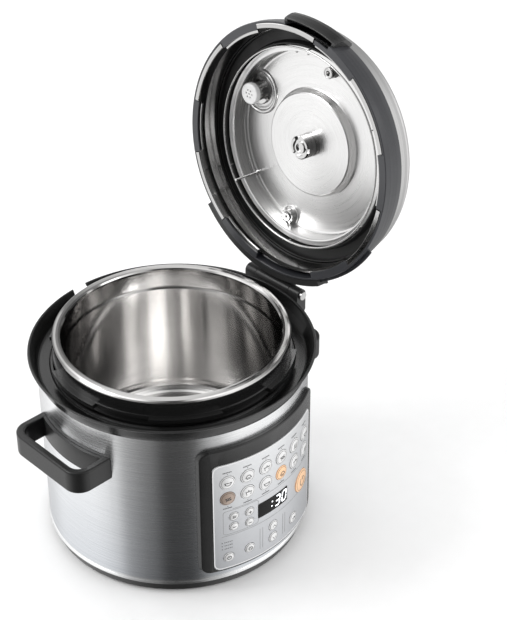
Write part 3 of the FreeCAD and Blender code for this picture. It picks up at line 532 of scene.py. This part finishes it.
# ---------------- panel marks ----------------


def panel_face(radius, azimuth, z):
    """Mapping from flat (across, up, lift) to the panel's cylinder, centred at one spot."""

    def onto(across, up, lift):
        angle, reach = azimuth + across / radius, radius + lift
        return Vector((reach * math.sin(angle), -reach * math.cos(angle), z + up))

    return onto


def button_face(name):
    """Mapping from flat (across, up, lift) to a button's domed cap, and the cap's radius."""
    low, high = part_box(name)
    x, y = (low[0] + high[0]) / 2, (low[1] + high[1]) / 2
    outward = Vector((x, y, 0.0)).normalized()
    sideways = Vector((-outward.y, outward.x, 0.0))
    radius = (high[2] - low[2]) / 2
    front = max((NODES[name].matrix_world @ v.co).dot(outward) for v in NODES[name].data.vertices)
    dome = min(1.5 * MM, radius * 0.26)
    ball = (radius**2 + dome**2) / (2 * dome)
    middle = Vector((0.0, 0.0, (low[2] + high[2]) / 2))

    def onto(across, up, lift):
        drop = ball - math.sqrt(max(ball**2 - across**2 - up**2, 0.0))
        return middle + sideways * across + Vector((0, 0, up)) + outward * (front - drop + lift)

    return onto, radius


def ribbon(path, width, onto, closed=False, thick=0.00010):
    """Vertices and faces of a thin raised line along a flat path, laid onto a surface."""
    verts, faces = [], []
    count = len(path)
    for i, (across, up) in enumerate(path):
        before = path[i - 1] if closed or i else path[0]
        after = path[(i + 1) % count] if closed or i < count - 1 else path[-1]
        du, dv = after[0] - before[0], after[1] - before[1]
        scale = width / 2 / math.hypot(du, dv)
        for side in (-1, 1):
            for lift in (0.00001, thick):
                verts.append(onto(across - side * dv * scale, up + side * du * scale, lift))
    for i in range(count if closed else count - 1):
        a, b = 4 * i, 4 * ((i + 1) % count)
        faces += [(a + 1, b + 1, b + 3, a + 3), (a, a + 2, b + 2, b)]
        faces += [(a, b, b + 1, a + 1), (a + 2, a + 3, b + 3, b + 2)]
    if not closed:
        last = 4 * (count - 1)
        faces += [(0, 1, 3, 2), (last, last + 2, last + 3, last + 1)]
    return verts, faces


def line(first, last, steps=2):
    """Straight path with a few points, so that it can follow a curved surface."""
    (a, b), (c, d) = first, last
    return [(a + (c - a) * i / steps, b + (d - b) * i / steps) for i in range(steps + 1)]


def arc(radius, start, sweep, centre=(0.0, 0.0), steps=12):
    angles = [math.radians(start + sweep * i / steps) for i in range(steps + 1)]
    return [(centre[0] + radius * math.cos(a), centre[1] + radius * math.sin(a)) for a in angles]


def rounded_box(half_width, half_height, corner, steps=24):
    """Closed path round a box with round corners."""
    x, y = half_width - corner, half_height - corner
    path = []
    for cx, cy, start in ((x, y, 0), (-x, y, 90), (-x, -y, 180), (x, -y, 270)):
        path += arc(corner, start, 90, (cx, cy), 6)
        if start in (0, 180):
            edge = cy + math.copysign(corner, cy)
            path += line((cx, edge), (-cx, edge), steps)[1:-1]
    return path


def mesh_piece(name, parts, finish, body):
    """One object from many (vertices, faces) parts, riding on a body."""
    verts, faces = [], []
    for part_verts, part_faces in parts:
        start = len(verts)
        verts += part_verts
        faces += [tuple(start + i for i in face) for face in part_faces]
    mesh = bpy.data.meshes.new(name)
    mesh.from_pydata(verts, [], faces)
    mesh.update()
    mesh.materials.append(FINISHES[finish])
    piece = bpy.data.objects.new(name, mesh)
    bpy.context.scene.collection.objects.link(piece)
    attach(piece, body)
    return piece


SEGMENTS = {
    "top": ((-0.5, 1.0), (0.5, 1.0)),
    "middle": ((-0.5, 0.0), (0.5, 0.0)),
    "bottom": ((-0.5, -1.0), (0.5, -1.0)),
    "upper_left": ((-0.5, 0.0), (-0.5, 1.0)),
    "upper_right": ((0.5, 0.0), (0.5, 1.0)),
    "lower_left": ((-0.5, -1.0), (-0.5, 0.0)),
    "lower_right": ((0.5, -1.0), (0.5, 0.0)),
}
DIGITS = {
    "3": ("top", "middle", "bottom", "upper_right", "lower_right"),
    "0": ("top", "bottom", "upper_left", "upper_right", "lower_left", "lower_right"),
}
SLANT = 0.14


def display_digits():
    """Time on the display: a colon and two slanted seven-segment digits."""
    middle = math.atan2((WINDOW_LOW[0] + WINDOW_HIGH[0]) / 2, WINDOW_R)
    z = (WINDOW_LOW[2] + WINDOW_HIGH[2]) / 2
    onto = panel_face(WINDOW_R, middle, z)
    arm, stroke, step = 0.0060, 0.0014, 0.0094
    trim, dot = 0.10, 0.0007
    parts = []
    for place, character in ((0.6, "3"), (1.65, "0")):
        for segment in DIGITS[character]:
            ends = []
            for x, y in SEGMENTS[segment]:
                ends.append((place * step + x * arm + SLANT * y * arm, y * arm))
            (a, b), (c, d) = ends
            first = (a + (c - a) * trim, b + (d - b) * trim)
            last = (c - (c - a) * trim, d - (d - b) * trim)
            parts.append(ribbon(line(first, last), stroke, onto))
    for rise in (-0.45, 0.45):
        at, level = -0.25 * step + SLANT * rise * arm, rise * arm
        parts.append(ribbon(line((at, level - dot), (at, level + dot)), 2 * dot, onto))
    return mesh_piece("display_digits", parts, "digits", "base")


def icon_paths(kind):
    """Small pictures made of strokes, in units of the button's radius."""
    if kind == "bowl":
        return [arc(0.42, 180, 180, (0.0, 0.08)), line((-0.5, 0.08), (0.5, 0.08))]
    if kind == "pot":
        body = [(-0.34, 0.14), (-0.34, -0.32), (0.34, -0.32), (0.34, 0.14)]
        return [body, line((-0.46, 0.14), (0.46, 0.14)), line((-0.1, 0.3), (0.1, 0.3))]
    if kind == "steam":
        return [line((x - 0.06, -0.34), (x + 0.06, 0.34)) for x in (-0.28, 0.0, 0.28)]
    if kind == "cake":
        plate = line((-0.46, -0.14), (0.46, -0.14))
        return [arc(0.36, 0, 180, (0.0, -0.1)), plate, line((-0.3, -0.34), (0.3, -0.34))]
    if kind == "leaf":
        sides = [arc(0.5, 20, 110, (-0.1, -0.34)), arc(0.5, 200, 110, (0.1, 0.34))]
        return sides + [line((-0.3, -0.3), (0.3, 0.3))]
    if kind == "up":
        return [[(-0.34, -0.12), (0.0, 0.24), (0.34, -0.12)]]
    if kind == "down":
        return [[(-0.34, 0.12), (0.0, -0.24), (0.34, 0.12)]]
    if kind == "plus":
        return [line((-0.36, 0.0), (0.36, 0.0)), line((0.0, -0.36), (0.0, 0.36))]
    if kind == "minus":
        return [line((-0.36, 0.0), (0.36, 0.0))]
    if kind == "power":
        return [arc(0.40, 120, 300, steps=20), line((0.0, 0.12), (0.0, 0.5))]
    return [arc(0.38, 90, 350, steps=18), [(0.0, 0.22), (0.0, 0.0), (0.16, -0.1)]]


UPPER_ICONS = ("bowl", "cake", "pot", "leaf", "steam", "bowl")
LOWER_ICONS = ("leaf", "pot", "bowl", "cake", "pot", "steam")
KEY_ICONS = {
    "start_stop_button": "power",
    "steam_button": "steam",
    "warm_button": "minus",
    "plus_button": "plus",
    "minus_button": "minus",
    "delay_button": "clock",
    "select_button": "clock",
    "time_up_button": "up",
    "time_down_button": "down",
    "mode_button": "pot",
}


for number, kind in enumerate(UPPER_ICONS + LOWER_ICONS, 1):
    KEY_ICONS["menu_button_%d" % number] = kind
LOWER_ROW = ["menu_button_%d" % number for number in range(7, 13)]


def button_marks():
    """Stroke icons on the caps, one piece for each button, so that each moves with its own."""
    for name, kind in KEY_ICONS.items():
        onto, radius = button_face(name)
        parts = []
        for path in icon_paths(kind):
            scaled = [(x * radius, y * radius) for x, y in path]
            parts.append(ribbon(scaled, 0.0008, onto))
        edge = arc(radius * 0.86, 0, 360, steps=32)[:-1]
        parts.append(ribbon(edge, 0.0003, onto, closed=True))
        mesh_piece(name + "_mark", parts, "ink", name)


def menu_labels():
    """A lamp and a row of dashes, in place of a word, beside every menu button."""
    lamps, dashes = [], []
    away, pitch, letters = 0.0024, 0.0022, 6
    for name in KEY_ICONS:
        if not name.startswith("menu"):
            continue
        low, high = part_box(name)
        azimuth = math.atan2((low[0] + high[0]) / 2, -(low[1] + high[1]) / 2)
        middle, radius = (low[2] + high[2]) / 2, (high[2] - low[2]) / 2
        sign = -1 if name in LOWER_ROW else 1
        onto = panel_face(FASCIA_R, azimuth, middle + sign * (radius + away))
        lamps.append(ribbon(line((-0.0004, 0.0), (0.0004, 0.0)), 0.0008, onto))
        half = radius * 0.62
        for letter in range(letters):
            left = -half + 2 * half * letter / letters
            path = line((left, sign * pitch), (left + half * 0.24, sign * pitch))
            dashes.append(ribbon(path, 0.0011, onto))
    return lamps, dashes


def panel_marks():
    """Plain dashes in place of words, lamps, rules between the groups and the light border."""
    lamps, dashes = menu_labels()
    rules = []
    whole = panel_face(FASCIA_R, 0.0, 0.0)
    degree = FASCIA_R * math.radians(1.0)
    fine = 0.0004
    for left, right, z in ((-20.0, 27.0, 0.1050), (-25.0, 27.0, 0.0715)):
        rules.append(ribbon(line((left * degree, z), (right * degree, z), 24), fine, whole))
    box = panel_face(FASCIA_R, math.radians(-16.2), 0.0885)
    rules.append(ribbon(rounded_box(8.0 * degree, 0.0150, 0.003, 8), fine, box, closed=True))
    for azimuth in (-7.4, -6.0, 5.6, 7.0):
        across = azimuth * degree
        rules.append(ribbon(line((across, 0.0370), (across, 0.0640)), fine, whole))
    for row in range(3):
        z = 0.0635 - 0.0042 * row
        lamps.append(ribbon(line((-25.0 * degree, z), (-24.6 * degree, z)), 0.0010, whole))
        for letter in range(5):
            left = (-23.8 + 0.75 * letter) * degree
            dashes.append(ribbon(line((left, z), (left + 0.0010, z)), 0.0009, whole))
    inset = 0.0011
    half_height = (FASCIA_HIGH[2] - FASCIA_LOW[2]) / 2
    half_width = FASCIA_R * math.atan2(FASCIA_HIGH[0], -FASCIA_HIGH[1])
    face = panel_face(FASCIA_R, 0.0, FASCIA_LOW[2] + half_height)
    edge = rounded_box(half_width - inset, half_height - inset, 0.0075)
    mesh_piece("panel_dashes", dashes, "ink", "base")
    mesh_piece("panel_rules", rules, "rule_ink", "base")
    mesh_piece("panel_lamps", lamps, "ink", "base")
    border = [ribbon(edge, 0.0009, face, closed=True)]
    mesh_piece("panel_border", border, "white_ink", "base")


# ---------------- studio ----------------


def studio_floor():
    """Pale paper sweep under the cooker."""
    size = 60.0
    low = CAD_BOX[0][2]
    verts = [(-size, -size, low), (size, -size, low), (size, size, low), (-size, size, low)]
    mesh = bpy.data.meshes.new("studio_floor")
    mesh.from_pydata(verts, [], [(0, 1, 2, 3)])
    mesh.materials.append(floor_paper())
    floor = bpy.data.objects.new("studio_floor", mesh)
    bpy.context.scene.collection.objects.link(floor)
    floor.visible_glossy = False


def area_light(name, place, target, size, power, colour=(1.0, 1.0, 1.0)):
    data = bpy.data.lights.new(name, "AREA")
    data.shape = "DISK"
    data.size = size
    data.energy = power
    data.color = colour
    lamp = bpy.data.objects.new(name, data)
    lamp.location = place
    lamp.rotation_euler = (Vector(target) - Vector(place)).to_track_quat("-Z", "Y").to_euler()
    bpy.context.scene.collection.objects.link(lamp)
    return lamp


def studio_world():
    """Bright room: white to the eye, with soft tall boxes and flags for the steel to mirror."""
    world = bpy.data.worlds.new("studio")
    bpy.context.scene.world = world
    world.use_nodes = True
    tree = world.node_tree
    tree.nodes.clear()
    new, link = tree.nodes.new, tree.links.new
    coords = new("ShaderNodeTexCoord")
    parts = new("ShaderNodeSeparateXYZ")
    link(coords.outputs["Generated"], parts.inputs[0])
    back = new("ShaderNodeMath")
    back.operation = "MULTIPLY"
    back.inputs[1].default_value = -1.0
    link(parts.outputs[1], back.inputs[0])
    turn = new("ShaderNodeMath")
    turn.operation = "ARCTAN2"
    link(parts.outputs[0], turn.inputs[0])
    link(back.outputs[0], turn.inputs[1])
    share = new("ShaderNodeMapRange")
    share.inputs["From Min"].default_value = -math.pi
    share.inputs["From Max"].default_value = math.pi
    link(turn.outputs[0], share.inputs["Value"])
    bands = new("ShaderNodeValToRGB")
    ramp = bands.color_ramp
    ramp.interpolation = "EASE"
    stops = [
        (-180, 0.75),
        (-165, 1.00),
        (-120, 1.00),
        (-100, 0.80),
        (-86, 0.30),
        (-66, 0.16),
        (-52, 0.04),
        (-28, 0.05),
        (-12, 0.40),
        (12, 0.90),
        (50, 0.95),
        (80, 0.50),
        (110, 0.30),
        (150, 0.60),
        (180, 0.75),
    ]
    while len(ramp.elements) > 1:
        ramp.elements.remove(ramp.elements[0])
    ramp.elements[0].position = 0.0
    ramp.elements[0].color = grey(stops[0][1])
    for azimuth, level in stops[1:]:
        ramp.elements.new((azimuth + 180) / 360).color = grey(level)
    link(share.outputs[0], bands.inputs[0])
    mirror = new("ShaderNodeBackground")
    mirror.inputs["Strength"].default_value = 1.3
    link(bands.outputs[0], mirror.inputs["Color"])
    plain = new("ShaderNodeBackground")
    plain.inputs["Color"].default_value = (1.0, 1.0, 1.0, 1.0)
    plain.inputs["Strength"].default_value = 0.95
    seen = new("ShaderNodeLightPath")
    paper = new("ShaderNodeBackground")
    paper.inputs["Color"].default_value = (1.0, 1.0, 1.0, 1.0)
    mix = new("ShaderNodeMixShader")
    link(seen.outputs["Is Glossy Ray"], mix.inputs[0])
    link(plain.outputs[0], mix.inputs[1])
    link(mirror.outputs[0], mix.inputs[2])
    whole = new("ShaderNodeMixShader")
    link(seen.outputs["Is Camera Ray"], whole.inputs[0])
    link(mix.outputs[0], whole.inputs[1])
    link(paper.outputs[0], whole.inputs[2])
    output = new("ShaderNodeOutputWorld")
    link(whole.outputs[0], output.inputs["Surface"])


def camera():
    """Long lens, about 1.7 m away, looking down from the front left corner."""
    data = bpy.data.cameras.new("camera")
    data.sensor_width = 36.0
    data.lens = 95.8
    eye = bpy.data.objects.new("camera", data)
    right = Vector((0.7023, -0.7118, -0.0038))
    up = Vector((0.406, 0.3961, 0.8235))
    back = Vector((-0.5848, -0.5799, 0.5673))
    turn = Matrix((right, up, back)).transposed()
    eye.matrix_world = Matrix.Translation((-0.89627, -1.00365, 1.1768)) @ turn.to_4x4()
    bpy.context.scene.collection.objects.link(eye)
    bpy.context.scene.camera = eye


def lights():
    middle = (0.0, 0.0, 0.20)
    area_light("key_light", (-0.95, 0.78, 1.5), middle, 0.8, 10.0)
    area_light("fill_light", (0.9, -1.3, 1.2), middle, 1.2, 5.0)
    area_light("back_light", (0.3, 1.4, 1.3), middle, 1.0, 4.0)


paint_frame()
squeeze_spring()
display_digits()
button_marks()
panel_marks()
studio_floor()
studio_world()
lights()
camera()
bpy.context.scene.view_settings.view_transform = "Standard"
